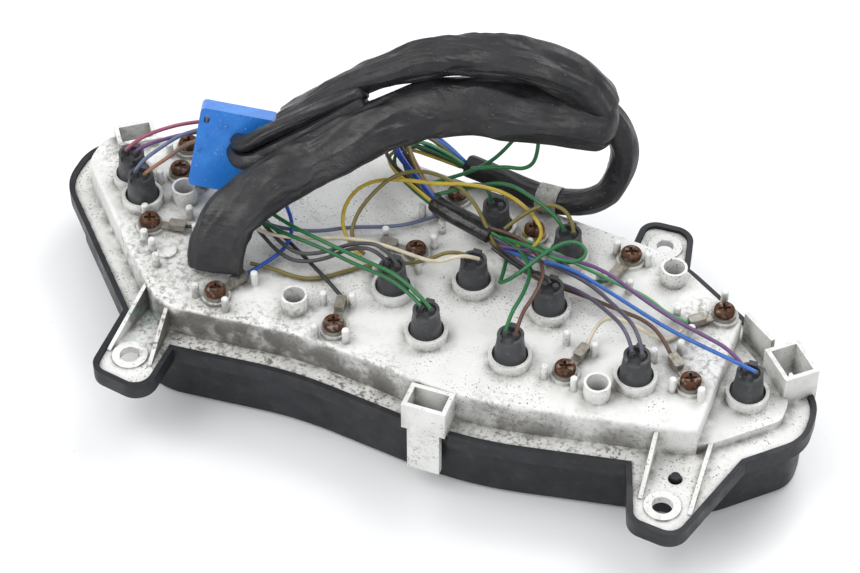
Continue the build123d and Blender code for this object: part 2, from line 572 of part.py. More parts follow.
MOTOR_START = ROW_END + CHEEK + 0.6
with BuildPart() as odometer_motor:
    with BuildSketch(Plane.XY.offset(CARRIER_TOP)):
        with Locations((MOTOR_START + MOTOR / 2, ODOMETER[1])):
            Rectangle(MOTOR, MOTOR)
    extrude(amount=MOTOR)
    add(round_bar(MOTOR_START, MOTOR_START + 6, WHEEL_AXLE + 2 * RUNNING), mode=Mode.SUBTRACT)
save(odometer_motor.part, "odometer_motor")

save(round_bar(ROW_START - CHEEK - 0.4, MOTOR_START + 5, WHEEL_AXLE), "odometer_axle")

for number in range(WHEELS):
    # Wheel 1 turns fastest and sits beside the motor.
    end = ROW_END - number * WHEEL_PITCH - WHEEL_GAP / 2
    bore = WHEEL_AXLE if number == 0 else WHEEL_AXLE + 2 * RUNNING
    with BuildPart() as wheel:
        add(round_bar(end - WHEEL_WIDTH, end, WHEEL_DIAMETER))
        add(round_bar(end - WHEEL_WIDTH, end, bore), mode=Mode.SUBTRACT)
    save(wheel.part, f"odometer_wheel_{number + 1}")

# ---- Circuit boards and brass spacers -----------------------------------------------------------
for name, start, end in (("left_board", -150, BOARD_SPLIT - 0.5), ("right_board", BOARD_SPLIT + 0.5, 108)):
    with BuildPart() as board:
        with BuildSketch(Plane.XY.offset(BOARD_Z)):
            add(outline(0, INNER_INSET))
            with Locations(((start + end) / 2, 0)):
                Rectangle(end - start, 300, mode=Mode.INTERSECT)
        extrude(amount=BOARD)
        extrude(discs(LAMPS, BOARD_Z, COLLAR_BORE), amount=BOARD, mode=Mode.SUBTRACT)
        extrude(discs(WELLS, BOARD_Z, WELL_WIDTH + 2), amount=BOARD, mode=Mode.SUBTRACT)
        extrude(discs(TERMINALS, BOARD_Z, SCREW_WIDTH + FIT), amount=BOARD, mode=Mode.SUBTRACT)
        extrude(socket_plan(LEFT_SOCKET, BOARD_Z, SOCKET_WALL + 1), amount=BOARD, mode=Mode.SUBTRACT)
    save(board.part, name)

with BuildPart() as brass_spacers:
    extrude(discs(TERMINALS, BOARD_Z + BOARD, SPACER_WIDTH), amount=PLATEAU_Z - WALL - BOARD_Z - BOARD)
    extrude(discs(TERMINALS, BOARD_Z, SCREW_WIDTH + 2 * RUNNING), amount=20, mode=Mode.SUBTRACT)
save(brass_spacers.part, "brass_spacers")

# ---- Lamp holders and bulbs ---------------------------------------------------------------------
for number, (x, y) in enumerate(LAMPS):
    foot = roof(number)
    base = HOLDER_BASE / 2
    with BuildPart() as holder:
        with BuildSketch(Plane(origin=(x, y, foot), x_dir=(1, 0, 0), z_dir=(0, -1, 0))):
            with BuildLine():
                Polyline(
                    (0, -6), (LAMP_HOLE / 2 - FIT, -6), (LAMP_HOLE / 2 - FIT, 0), (base, 0), (base, 2),
                    (base - 0.4, 2.4), (HOLDER_TOP / 2, HOLDER_RISE), (0, HOLDER_RISE), close=True,
                )
            make_face()
        revolve(axis=Axis((x, y, 0), (0, 0, 1)))
        extrude(discs([(x, y)], foot + HOLDER_RISE, HOLDER_TOP), amount=2)
        extrude(discs([(x, y)], foot + HOLDER_RISE, HOLDER_TOP - 2.4), amount=2, mode=Mode.SUBTRACT)
        with BuildSketch(Plane.XY.offset(foot + HOLDER_RISE)):
            with Locations((x, y - HOLDER_TOP / 2)):
                Rectangle(5, 4)
        extrude(amount=2, mode=Mode.SUBTRACT)
        with BuildSketch(Plane.XY.offset(foot + HOLDER_RISE)):
            with Locations((x, y + HOLDER_TOP / 2 - 1.2)):
                Rectangle(3.4, 2.4)
        extrude(amount=3)
        stubs = [(x - WIRE_SPLIT, y), (x + WIRE_SPLIT, y)]
        extrude(discs(stubs, foot + HOLDER_RISE, WIRE + 0.8), amount=STUB)
        extrude(discs([(x, y)], foot - 6, BULB + FIT), amount=8, mode=Mode.SUBTRACT)
    save(holder.part, f"lamp_holder_{number + 1}")

with BuildPart() as bulbs:
    for number, (x, y) in enumerate(LAMPS):
        extrude(discs([(x, y)], roof(number) + 1 - BULB_LENGTH, BULB), amount=BULB_LENGTH)
    fillet(bulbs.edges().group_by(Axis.Z)[0], 1.5)
save(bulbs.part, "bulbs")

# ---- Screws, washers and ring terminals ---------------------------------------------------------
SEAT_Z = PLATEAU_Z - WELL_FLOOR
TAG_Z = PLATEAU_Z + PAD_RISE
HEAD_Z = TAG_Z + TAG + WASHER


def screws(places, seat, shank):
    """Cross-recessed pan head screws that stand head up at a list of places."""
    with BuildPart() as group:
        extrude(discs(places, seat, HEAD_WIDTH), amount=HEAD)
        fillet(group.edges().group_by(Axis.Z)[-1], 1.2)
        for turn in (25, 115):
            with BuildSketch(Plane.XY.offset(seat + HEAD - 1.4)):
                with Locations(*[Location((place[0], place[1], 0), (0, 0, turn)) for place in places]):
                    Rectangle(4.6, 1.1)
            extrude(amount=2, mode=Mode.SUBTRACT)
        extrude(discs(places, seat - shank, SCREW_WIDTH), amount=shank)
    return group.part


save(screws(TERMINALS, HEAD_Z, HEAD_Z - BOARD_Z + 1), "terminal_screws")
save(screws(WELLS, SEAT_Z, SEAT_Z - CARRIER_Z - 0.5), "case_screws")

with BuildPart() as washers:
    extrude(discs(TERMINALS, TAG_Z + TAG, TAG_WIDTH), amount=WASHER)
    extrude(discs(TERMINALS, TAG_Z + TAG, SCREW_WIDTH + 2 * RUNNING), amount=WASHER, mode=Mode.SUBTRACT)
save(washers.part, "washers")

with BuildPart() as ring_terminals:
    extrude(discs(TERMINALS, TAG_Z, TAG_WIDTH), amount=TAG)
    for x, y, turn in TERMINALS:
        with BuildSketch(Plane(origin=(x, y, TAG_Z), x_dir=(cos(radians(turn)), sin(radians(turn)), 0))):
            with Locations((TAG_LENGTH / 2, 0)):
                Rectangle(TAG_LENGTH, 3.6)
        extrude(amount=TAG)
        with BuildSketch(Plane(origin=(x, y, TAG_Z), x_dir=(cos(radians(turn)), sin(radians(turn)), 0))):
            with Locations((TAG_LENGTH - BARREL / 2, 0)):
                RectangleRounded(BARREL, 4, 1)
        extrude(amount=BARREL_RISE)
    extrude(discs(TERMINALS, TAG_Z, SCREW_WIDTH + 2 * RUNNING), amount=TAG, mode=Mode.SUBTRACT)
save(ring_terminals.part, "ring_terminals")

# ---- Harness ------------------------------------------------------------------------------------
with BuildPart() as blue_connector:
    with BuildSketch(PLUG):
        RectangleRounded(PLUG_LENGTH, PLUG_HEIGHT, 2)
    extrude(amount=-PLUG_DEPTH)
    # The pin cavity opens on the underside.
    with BuildSketch(PLUG.offset(-PLUG_WALL)):
        with Locations((0, -3)):
            Rectangle(PLUG_LENGTH - 4 * PLUG_WALL, PLUG_HEIGHT - 6 - 4 * PLUG_WALL)
    extrude(amount=-PLUG_DEPTH, mode=Mode.SUBTRACT)
    with BuildSketch(PLUG):
        with Locations((-PLUG_LENGTH / 2 + 3, PLUG_HEIGHT / 2 - 4.5)):
            SlotOverall(3.6, 2.2, rotation=90)
    extrude(amount=-PLUG_DEPTH, mode=Mode.SUBTRACT)
save(blue_connector.part, "blue_connector")

with BuildPart() as connector_insert:
    with BuildSketch(PLUG.offset(-PLUG_WALL - 2)):
        with Locations((0, -3)):
            Rectangle(PLUG_LENGTH - 4 * PLUG_WALL, PLUG_HEIGHT - 6 - 4 * PLUG_WALL)
    extrude(amount=-4)
    with BuildSketch(PLUG.offset(-PLUG_WALL - 6)):
        with Locations((0, -3)):
            with GridLocations(5, 6, 4, 3):
                Rectangle(1.8, 0.8)
    extrude(amount=-3)
save(connector_insert.part, "connector_insert")

save(tube(TRUNK, TRUNK_WIDTH), "trunk_sleeve")
save(tube(SHRINK, SHRINK_WIDTH), "heat_shrink")
save(tube(FRONT_ARM, ARM_WIDTH), "front_sleeve")
save(tube(UPPER_ARM, ARM_WIDTH), "upper_sleeve")
for name, routes in WIRES.items():
    save(Compound(children=[tube(route, WIRE) for route in routes]), name)

bound = Vector(*TRUNK[3]) - Vector(*TRUNK[2])
band = Plane(origin=Vector(*TRUNK[2]) + Vector(0, 0, LIFT) + bound * BAND_START, z_dir=bound)
with BuildPart() as tape_band:
    with BuildSketch(band):
        Circle(TRUNK_WIDTH / 2 + TAPE)
        Circle(TRUNK_WIDTH / 2, mode=Mode.SUBTRACT)
    extrude(amount=BAND_LENGTH)
save(tape_band.part, "tape_band")
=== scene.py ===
"""Looks of the motorcycle instrument cluster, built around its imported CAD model."""
import math

import bmesh
import bpy
from mathutils import Matrix, Vector, noise


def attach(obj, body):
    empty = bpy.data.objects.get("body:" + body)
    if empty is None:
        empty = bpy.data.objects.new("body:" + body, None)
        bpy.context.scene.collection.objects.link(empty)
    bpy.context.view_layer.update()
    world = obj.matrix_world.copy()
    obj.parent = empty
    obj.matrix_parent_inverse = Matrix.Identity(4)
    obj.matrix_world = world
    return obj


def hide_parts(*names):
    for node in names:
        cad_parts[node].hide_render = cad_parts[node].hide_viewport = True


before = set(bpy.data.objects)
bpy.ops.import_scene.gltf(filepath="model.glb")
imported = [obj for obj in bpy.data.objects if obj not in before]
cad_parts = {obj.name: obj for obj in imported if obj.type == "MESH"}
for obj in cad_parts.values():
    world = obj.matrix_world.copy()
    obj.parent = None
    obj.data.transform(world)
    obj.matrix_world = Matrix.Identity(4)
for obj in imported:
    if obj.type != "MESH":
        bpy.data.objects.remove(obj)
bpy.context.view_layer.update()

MM = 0.001
# Plan positions are given from the point midway between the front tabs, as in the CAD source.
MIDDLE = 12.0
HOUSING = "housing"

# Sizes in mm. A strand is a wire of the bundle whose route is only partly seen.
WIRE = 1.6
STRAND = 1.5
TRUNK_WIDTH = 11
ARM_WIDTH = 18

# Where each gauge's needle turns, in plan, and how far up the dials and the needles' hubs are.
GAUGES = {"speedometer": (-66, 10), "tachometer": (60, 6), "temperature": (-131, 26.5), "fuel": (113, 6)}
HUB_HEIGHT = 9
HUB_REACH = 5.2
FILM_HEIGHT = 11.5

CAMERA = (231.4, -640.7, 751.8)
LOOK_AT = (-6.9, 0, 44)


def at(x, y, z):
    """A point of the CAD source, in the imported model's frame and in metres."""
    return Vector(((x + MIDDLE) * MM, y * MM, z * MM))


# ---- Camera and light ---------------------------------------------------------------------------
bpy.ops.object.camera_add(location=at(*CAMERA))
camera = bpy.context.object
aim = at(*LOOK_AT) - camera.location
camera.rotation_euler = aim.to_track_quat("-Z", "Y").to_euler()
camera.data.sensor_width = 36
camera.data.lens = 104.65
camera.data.clip_start = 0.01
bpy.context.scene.camera = camera

world = bpy.data.worlds.new("studio")
bpy.context.scene.world = world
world.use_nodes = True
world.node_tree.nodes["Background"].inputs[0].default_value = (0.97, 0.98, 1, 1)
world.node_tree.nodes["Background"].inputs[1].default_value = 0.82
for name, spot, size, power, colour in (
    ("softbox_left", (-0.9, -0.5, 1.3), 1.2, 13, (1, 0.99, 0.97)),
    ("softbox_back", (0.4, 1.0, 1.2), 1.0, 11, (0.98, 0.99, 1)),
    ("softbox_front", (0.7, -1.1, 0.9), 0.8, 4, (1, 1, 1)),
):
    lamp = bpy.data.lights.new(name, "AREA")
    lamp.size = size
    lamp.energy = power
    lamp.color = colour
    holder = bpy.data.objects.new(name, lamp)
    bpy.context.collection.objects.link(holder)
    holder.location = spot
    holder.rotation_euler = (Vector((0, 0, 0.03)) - Vector(spot)).to_track_quat("-Z", "Y").to_euler()
bpy.context.scene.view_settings.view_transform = "Standard"


# ---- Materials ----------------------------------------------------------------------------------
class Paint:
    """A procedural material: a Principled shader whose colour and bump are layered from textures."""

    def __init__(self, name, colour, rough, metal=0.0, coat=0.0, specular=0.5):
        self.material = bpy.data.materials.new(name)
        self.material.use_nodes = True
        self.nodes = self.material.node_tree.nodes
        self.links = self.material.node_tree.links
        self.shader = self.nodes["Principled BSDF"]
        self.shader.inputs["Roughness"].default_value = rough
        self.shader.inputs["Metallic"].default_value = metal
        self.shader.inputs["Coat Weight"].default_value = coat
        self.shader.inputs["Specular IOR Level"].default_value = specular
        self.shader.inputs["Base Color"].default_value = (*colour, 1)
        self.colour = None
        self.flat = (*colour, 1)
        self.height = None
        self.place = self.node("ShaderNodeTexCoord").outputs["Object"]

    def node(self, kind, **values):
        """A new node with its settings."""
        made = self.nodes.new(kind)
        for key, value in values.items():
            setattr(made, key, value)
        return made

    def stretch(self, scale):
        """The object's coordinates with each axis scaled."""
        mapping = self.node("ShaderNodeMapping")
        mapping.inputs["Scale"].default_value = scale
        self.links.new(self.place, mapping.inputs[0])
        return mapping.outputs[0]

    def noise(self, size, low=0.4, high=0.6, detail=4.0, where=None):
        """A mask from noise: 0 below low, 1 above high. size is the feature size in mm."""
        texture = self.node("ShaderNodeTexNoise")
        texture.inputs["Scale"].default_value = 1000 / size
        texture.inputs["Detail"].default_value = detail
        texture.inputs["Roughness"].default_value = 0.55
        self.links.new(where or self.place, texture.inputs["Vector"])
        return self.ramp(texture.outputs[0], low, high)

    def ramp(self, value, low, high):
        """A mask that rises from 0 at low to 1 at high."""
        span = self.node("ShaderNodeMapRange")
        span.inputs["From Min"].default_value = low
        span.inputs["From Max"].default_value = high
        self.links.new(value, span.inputs[0])
        return span.outputs[0]

    def math(self, kind, first, second):
        """A sum, product or other operation on masks or numbers, kept from 0 to 1."""
        made = self.node("ShaderNodeMath", operation=kind, use_clamp=True)
        for slot, value in enumerate((first, second)):
            if isinstance(value, (int, float)):
                made.inputs[slot].default_value = value
            else:
                self.links.new(value, made.inputs[slot])
        return made.outputs[0]

    def crevice(self, reach, low, high):
        """A mask that is 1 where surfaces meet within reach mm."""
        shade = self.node("ShaderNodeAmbientOcclusion")
        shade.samples = 6
        shade.inputs["Distance"].default_value = reach * MM
        return self.ramp(shade.outputs["AO"], high, low)

    def near(self, centre, radius, soft):
        """A mask that is 1 within radius mm of a point and fades over soft mm."""
        away = self.node("ShaderNodeVectorMath", operation="DISTANCE")
        self.links.new(self.place, away.inputs[0])
        away.inputs[1].default_value = at(*centre)
        return self.ramp(away.outputs["Value"], (radius + soft) * MM, radius * MM)

    def layer(self, colour, mask):
        """Lay a colour over what is there, by a mask."""
        mix = self.node("ShaderNodeMix", data_type="RGBA")
        mix.inputs[7].default_value = (*colour, 1)
        if self.colour is None:
            mix.inputs[6].default_value = self.flat
        else:
            self.links.new(self.colour, mix.inputs[6])
        self.links.new(mask, mix.inputs[0])
        self.colour = mix.outputs[2]
        self.links.new(self.colour, self.shader.inputs["Base Color"])

    def gloss(self, mask, low, high):
        """Roughness low where the mask is 0 and high where it is 1."""
        span = self.node("ShaderNodeMapRange")
        span.inputs["To Min"].default_value = low
        span.inputs["To Max"].default_value = high
        self.links.new(mask, span.inputs[0])
        self.links.new(span.outputs[0], self.shader.inputs["Roughness"])

    def bump(self, mask, depth, strength=0.5):
        """Relief of depth mm from a mask, on top of earlier relief."""
        relief = self.node("ShaderNodeBump")
        relief.inputs["Strength"].default_value = strength
        relief.inputs["Distance"].default_value = depth * MM
        self.links.new(mask, relief.inputs["Height"])
        if self.height is not None:
            self.links.new(self.height, relief.inputs["Normal"])
        self.height = relief.outputs[0]
        self.links.new(self.height, self.shader.inputs["Normal"])


def dusty(name, colour, rough, dust=(0.33, 0.31, 0.27), amount=0.5, grain=0.6):
    """A moulded surface with fine grain, dull patches and dust."""
    paint = Paint(name, colour, rough)
    lighter = tuple(min(1, c * 1.6 + 0.01) for c in colour)
    paint.layer(lighter, paint.math("MULTIPLY", paint.noise(14, 0.42, 0.7), 0.6))
    paint.layer(dust, paint.math("MULTIPLY", paint.noise(5, 0.55, 0.8, 8), amount))
    paint.layer(dust, paint.math("MULTIPLY", paint.noise(0.9, 0.66, 0.74, 3), amount))
    paint.gloss(paint.noise(9, 0.35, 0.7), rough, min(1, rough + 0.25))
    paint.bump(paint.noise(grain, 0.3, 0.7, 3), 0.08, 0.25)
    return paint


white = Paint("white_abs", (0.74, 0.742, 0.725), 0.46, specular=0.4)
white.layer((0.62, 0.62, 0.595), white.math("MULTIPLY", white.noise(38, 0.42, 0.7), 0.7))
white.layer((0.50, 0.49, 0.455), white.math("MULTIPLY", white.noise(9, 0.52, 0.78, 10), 0.45))
dirty_patch = white.noise(30, 0.46, 0.62, 3)
dirt = white.math("MULTIPLY", white.noise(2.6, 0.52, 0.74, 9), 0.6)
white.layer((0.34, 0.325, 0.285), white.math("MULTIPLY", dirty_patch, dirt))
speck = white.math("MULTIPLY", white.noise(0.9, 0.60, 0.66, 3), white.noise(17, 0.44, 0.60, 4))
white.layer((0.07, 0.065, 0.055), white.math("MULTIPLY", speck, 0.85))
white.layer((0.09, 0.085, 0.075), white.math("MULTIPLY", white.noise(0.55, 0.69, 0.73, 2), 0.7))
# Painted shade and grime: the colour darkens, mottled, within 5.5 mm of where surfaces meet, as ambient
# occlusion shades the crevices.
crevice_shade_and_grime = white.crevice(5.5, 0.42, 0.95)
white.layer((0.13, 0.118, 0.10), white.math("MULTIPLY", crevice_shade_and_grime, white.noise(5, 0.30, 0.62, 9)))
facing = white.node("ShaderNodeSeparateXYZ")
white.links.new(white.node("ShaderNodeNewGeometry").outputs["Normal"], facing.inputs[0])
wall = white.ramp(facing.outputs["Z"], 0.95, 0.5)
# Heavy dark patches on the front wall between the left tab and the front socket, and right of that socket;
# the darkest is laid only on upright faces, with finer dark mottling on all faces.
for centre, radius, soft in (
    ((-88, -52, 34), 12, 14), ((-62, -50, 33), 12, 14), ((-36, -50, 32), 9, 14), ((-12, -54, 32), 8, 14),
    ((36, -56, 33), 6, 12), ((58, -54, 32), 6, 12), ((84, -48, 32), 4, 14), ((-112, -40, 36), 6, 12),
):
    dark_patch = white.math("MULTIPLY", white.near(centre, radius, soft), white.noise(9, 0.25, 0.52, 10))
    white.layer((0.07, 0.065, 0.058), white.math("MULTIPLY", white.math("MULTIPLY", dark_patch, wall), 0.9))
    white.layer((0.16, 0.15, 0.13), white.math("MULTIPLY", dark_patch, white.noise(1.8, 0.50, 0.62, 6)))
for centre, radius, soft in (
    ((-152, 30, 44), 4, 12), ((-128, -18, 44), 5, 14), ((-109, -5, 44), 3, 9), ((-100, -25, 44), 4, 16),
    ((104, -2, 44), 4, 14), ((99, 22, 44), 3, 12), ((-52, -29, 44), 3, 10), ((24, 30, 44), 5, 16),
):
    dark_patch = white.math("MULTIPLY", white.near(centre, radius, soft), white.noise(2.6, 0.46, 0.66, 9))
    white.layer((0.15, 0.14, 0.12), white.math("MULTIPLY", dark_patch, 0.8))
teal = white.math("MULTIPLY", white.near((-114.5, -46, 31), 5, 8), white.noise(4, 0.5, 0.7, 5))
white.layer((0.18, 0.42, 0.42), white.math("MULTIPLY", teal, 0.6))
white.gloss(white.noise(8, 0.4, 0.65, 6), 0.38, 0.7)
white.bump(white.noise(0.8, 0.3, 0.7, 4), 0.06, 0.25)
white.bump(white.noise(24, 0.3, 0.7, 2), 0.35, 0.2)

black = dusty("black_abs", (0.008, 0.009, 0.012), 0.33, amount=0.06, grain=0.5)
black.shader.inputs["Specular IOR Level"].default_value = 0.35
seal = dusty("seal_rubber", (0.02, 0.02, 0.02), 0.7, amount=0.2)
rubber = dusty("holder_rubber", (0.032, 0.034, 0.038), 0.42, (0.20, 0.19, 0.175), 0.4, 0.5)
rubber.layer((0.20, 0.19, 0.175), rubber.math("MULTIPLY", rubber.crevice(1.5, 0.3, 0.9), 0.5))

rust = Paint("rusty_screw", (0.26, 0.24, 0.21), 0.5, metal=0.6)
rust.layer((0.12, 0.05, 0.025), rust.noise(2.4, 0.30, 0.48, 7))
rust.layer((0.045, 0.025, 0.018), rust.noise(1.4, 0.46, 0.62, 5))
rust.gloss(rust.noise(2.4, 0.40, 0.56, 7), 0.42, 0.85)
rust.bump(rust.noise(0.5, 0.3, 0.7, 4), 0.12, 0.5)

tin = Paint("tinned_copper", (0.30, 0.29, 0.265), 0.42, metal=0.8)
tin.layer((0.22, 0.17, 0.10), tin.math("MULTIPLY", tin.noise(2.6, 0.45, 0.68, 6), 0.8))
tin.layer((0.40, 0.31, 0.13), tin.near((22.5, 36, 47), 7, 2))
tin.gloss(tin.noise(1.8, 0.4, 0.6, 5), 0.34, 0.62)
tin.bump(tin.noise(0.7, 0.3, 0.7, 3), 0.06, 0.4)

steel = Paint("satin_steel", (0.6, 0.6, 0.58), 0.32, metal=1.0)
steel.layer((0.42, 0.42, 0.41), steel.noise(0.6, 0.35, 0.7, 3, where=steel.stretch((1, 14, 14))))
steel.gloss(steel.noise(3, 0.3, 0.7), 0.26, 0.42)
brass = Paint("dull_brass", (0.55, 0.39, 0.13), 0.34, metal=1.0)
brass.layer((0.33, 0.22, 0.08), brass.noise(2.2, 0.45, 0.7, 5))
brass.gloss(brass.noise(2, 0.3, 0.7), 0.28, 0.5)

blue = Paint("blue_nylon", (0.012, 0.17, 0.60), 0.36, coat=0.1)
blue.layer((0.03, 0.26, 0.72), blue.math("MULTIPLY", blue.noise(9, 0.45, 0.7), 0.6))
blue.layer((0.012, 0.06, 0.2), blue.math("MULTIPLY", blue.noise(3.5, 0.58, 0.76, 8), 0.75))
blue.layer((0.42, 0.45, 0.48), blue.math("MULTIPLY", blue.noise(1.1, 0.66, 0.72, 3), 0.6))
blue.bump(blue.noise(1.2, 0.3, 0.7, 3), 0.05, 0.3)

board = Paint("brown_board", (0.28, 0.15, 0.05), 0.35, coat=0.3)
wave = board.node("ShaderNodeTexWave")
wave.inputs["Scale"].default_value = 60
wave.inputs["Distortion"].default_value = 5
board.links.new(board.place, wave.inputs[0])
board.layer((0.50, 0.28, 0.10), board.ramp(wave.outputs["Color"], 0.6, 0.7))
board.gloss(board.noise(6), 0.3, 0.5)

guide = Paint("frosted_guide", (0.72, 0.75, 0.72), 0.3)
guide.shader.inputs["Transmission Weight"].default_value = 0.25
guide.layer((0.63, 0.66, 0.62), guide.noise(20, 0.4, 0.7))
guide.bump(guide.noise(0.5, 0.3, 0.7, 2), 0.05, 0.3)
carrier = dusty("carrier_white", (0.68, 0.68, 0.65), 0.5, (0.45, 0.42, 0.36), 0.4)
movement = dusty("movement_black", (0.03, 0.03, 0.032), 0.4, amount=0.15)
wheel_white = dusty("wheel_white", (0.70, 0.70, 0.66), 0.4, (0.5, 0.48, 0.42), 0.2)
film = Paint("telltale_film", (0.03, 0.22, 0.06), 0.22, coat=0.3)
for hue, x, y in (
    ((0.35, 0.02, 0.02), 1, -25.5), ((0.02, 0.06, 0.4), 35.5, -26.5), ((0.55, 0.22, 0.02), 9, 6),
):
    film.layer(hue, film.near((x, y, FILM_HEIGHT), 9, 0.5))
film.bump(film.noise(0.8, 0.3, 0.7, 2), 0.04, 0.2)
dial_paint = Paint("dial_print", (0.010, 0.010, 0.012), 0.55)
dial_paint.layer((0.022, 0.022, 0.025), dial_paint.noise(0.5, 0.4, 0.6, 2))
dial_paint.bump(dial_paint.noise(0.35, 0.3, 0.7, 2), 0.03, 0.3)
needle_paint = Paint("needle_paint", (0.80, 0.11, 0.015), 0.35, coat=0.2)
needle_paint.layer((0.72, 0.07, 0.01), needle_paint.noise(5, 0.4, 0.7))
for x, y in GAUGES.values():
    needle_paint.layer((0.012, 0.012, 0.013), needle_paint.near((x, y, HUB_HEIGHT), HUB_REACH, 0.1))


def clear(name, colour, rough, ior):
    """Clear plastic or glass with fine scratches and dust."""
    paint = Paint(name, colour, rough)
    paint.shader.inputs["Transmission Weight"].default_value = 1.0
    paint.shader.inputs["IOR"].default_value = ior
    scratch = paint.noise(0.5, 0.60, 0.66, 2, where=paint.stretch((1, 0.04, 1)))
    paint.gloss(paint.math("MULTIPLY", scratch, 0.6), rough, 0.4)
    paint.bump(scratch, 0.02, 0.2)
    return paint


lens = clear("clear_acrylic", (0.96, 0.97, 0.97), 0.03, 1.49)
glass = clear("bulb_glass", (0.95, 0.96, 0.95), 0.02, 1.45)

pvc = Paint("pvc_sleeve", (0.008, 0.008, 0.010), 0.34, specular=0.45)
pvc.layer((0.020, 0.020, 0.022), pvc.noise(16, 0.42, 0.68, 6))
pvc.layer((0.060, 0.054, 0.046), pvc.math("MULTIPLY", pvc.noise(9, 0.56, 0.80, 9), 0.55))
pvc.layer((0.20, 0.17, 0.13), pvc.math("MULTIPLY", pvc.noise(1.3, 0.67, 0.74, 4), 0.5))
pvc.gloss(pvc.noise(11, 0.36, 0.68, 5), 0.27, 0.58)
pvc.bump(pvc.noise(5.5, 0.25, 0.75, 5, where=pvc.stretch((0.6, 1.3, 1.3))), 0.9, 0.35)
pvc.bump(pvc.noise(0.9, 0.3, 0.7, 3), 0.08, 0.25)
shrink = Paint("shrink_tube", (0.010, 0.010, 0.011), 0.28)
shrink.layer((0.05, 0.048, 0.044), shrink.noise(3, 0.5, 0.8, 5))
shrink.bump(shrink.noise(2.4, 0.3, 0.7, 2), 0.25, 0.5)
tape = Paint("cloth_tape", (0.30, 0.30, 0.28), 0.7)
tape.layer((0.10, 0.10, 0.095), tape.noise(4, 0.42, 0.66, 6))
tape.layer((0.46, 0.46, 0.44), tape.noise(1.0, 0.56, 0.66, 3))
tape.bump(tape.noise(0.5, 0.3, 0.7, 2), 0.15, 0.5)


def insulation(name, colour):
    """PVC wire insulation, a little grimy."""
    paint = Paint(name, colour, 0.36, coat=0.08)
    darker = tuple(c * 0.55 + 0.01 for c in colour)
    paint.layer(darker, paint.math("MULTIPLY", paint.noise(7, 0.5, 0.74, 7), 0.75))
    paint.layer((0.24, 0.22, 0.19), paint.math("MULTIPLY", paint.noise(1.2, 0.66, 0.74, 3), 0.45))
    paint.gloss(paint.noise(4, 0.35, 0.7), 0.3, 0.55)
    paint.bump(paint.noise(2.2, 0.3, 0.7, 2), 0.05, 0.3)
    return paint.material


COLOURS = {
    "pink": (0.30, 0.07, 0.13), "purple": (0.12, 0.05, 0.16), "slate": (0.10, 0.13, 0.22),
    "tan": (0.25, 0.13, 0.07), "grey": (0.045, 0.045, 0.05), "green": (0.010, 0.13, 0.035),
    "olive": (0.16, 0.13, 0.025), "brown": (0.085, 0.035, 0.02), "wine": (0.16, 0.02, 0.02),
    "cream": (0.62, 0.56, 0.42), "blue": (0.012, 0.07, 0.40), "sky": (0.03, 0.13, 0.46),
    "yellow": (0.50, 0.36, 0.025), "dark_green": (0.008, 0.07, 0.025), "mauve": (0.075, 0.065, 0.10),
    "ink": (0.012, 0.012, 0.014), "orange": (0.45, 0.20, 0.02), "mint": (0.10, 0.30, 0.14),
}
INSULATION = {name: insulation(f"wire_{name}", colour) for name, colour in COLOURS.items()}

KEPT = {
    "rear_case": white, "front_bezel": black, "case_seal": seal, "clear_lens": lens, "dial_plate": dial_paint,
    "telltale_windows": film, "light_guide": guide, "gauge_carrier": carrier, "odometer_frame": steel,
    "odometer_motor": steel, "odometer_axle": steel, "left_board": board, "right_board": board,
    "brass_spacers": brass, "bulbs": glass, "terminal_screws": rust, "case_screws": rust, "washers": tin,
    "ring_terminals": tin, "blue_connector": blue, "connector_insert": black, "tape_band": tape,
}
for gauge in GAUGES:
    KEPT[f"{gauge}_movement"] = movement
    KEPT[f"{gauge}_needle"] = needle_paint
KEPT.update({f"odometer_wheel_{number}": wheel_white for number in range(1, 7)})
KEPT.update({f"lamp_holder_{number}": rubber for number in range(1, 12)})
for name, paint in KEPT.items():
    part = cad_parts[name]
    part.data.materials.clear()
    part.data.materials.append(paint.material)
    for face in part.data.polygons:
        face.material_index = 0


# ---- Cords --------------------------------------------------------------------------------------
def line(name, route, width):
    """A smooth curve through the air near the route's points, as a round cord of width mm."""
    data = bpy.data.curves.new(name, "CURVE")
    data.dimensions = "3D"
    data.bevel_depth = width * MM / 2
    data.bevel_resolution = 4
    data.resolution_u = 8
    spline = data.splines.new("NURBS")
    spline.points.add(len(route) - 1)
    for point, place in zip(spline.points, route):
        point.co = (*at(*place), 1)
    spline.order_u = 3
    spline.use_endpoint_u = True
    cord = bpy.data.objects.new(name, data)
    bpy.context.collection.objects.link(cord)
    return cord


def centres(route, steps):
    """Points along the route's smooth line, in the row frame."""
    bare = line("bare", route, 0)
    bare.data.resolution_u = steps
    mesh = bpy.data.meshes.new_from_object(bare)
    points = [vertex.co.copy() for vertex in mesh.vertices]
    bpy.data.objects.remove(bare)
    bpy.data.meshes.remove(mesh)
    return points


def skin(name, rings):
    """A smooth closed mesh through rings of points."""
    shell = bmesh.new()
    rows = [[shell.verts.new(point) for point in ring] for ring in rings]
    count = len(rows[0])
    for low, high in zip(rows, rows[1:]):
        for step in range(count):
            after = (step + 1) % count
            shell.faces.new((low[step], low[after], high[after], high[step]))
    shell.faces.new(list(reversed(rows[0])))
    shell.faces.new(rows[-1])
    bmesh.ops.recalc_face_normals(shell, faces=shell.faces)
    mesh = bpy.data.meshes.new(name)
    shell.to_mesh(mesh)
    shell.free()
    for face in mesh.polygons:
        face.use_smooth = True
    body = bpy.data.objects.new(name, mesh)
    bpy.context.collection.objects.link(body)
    return body


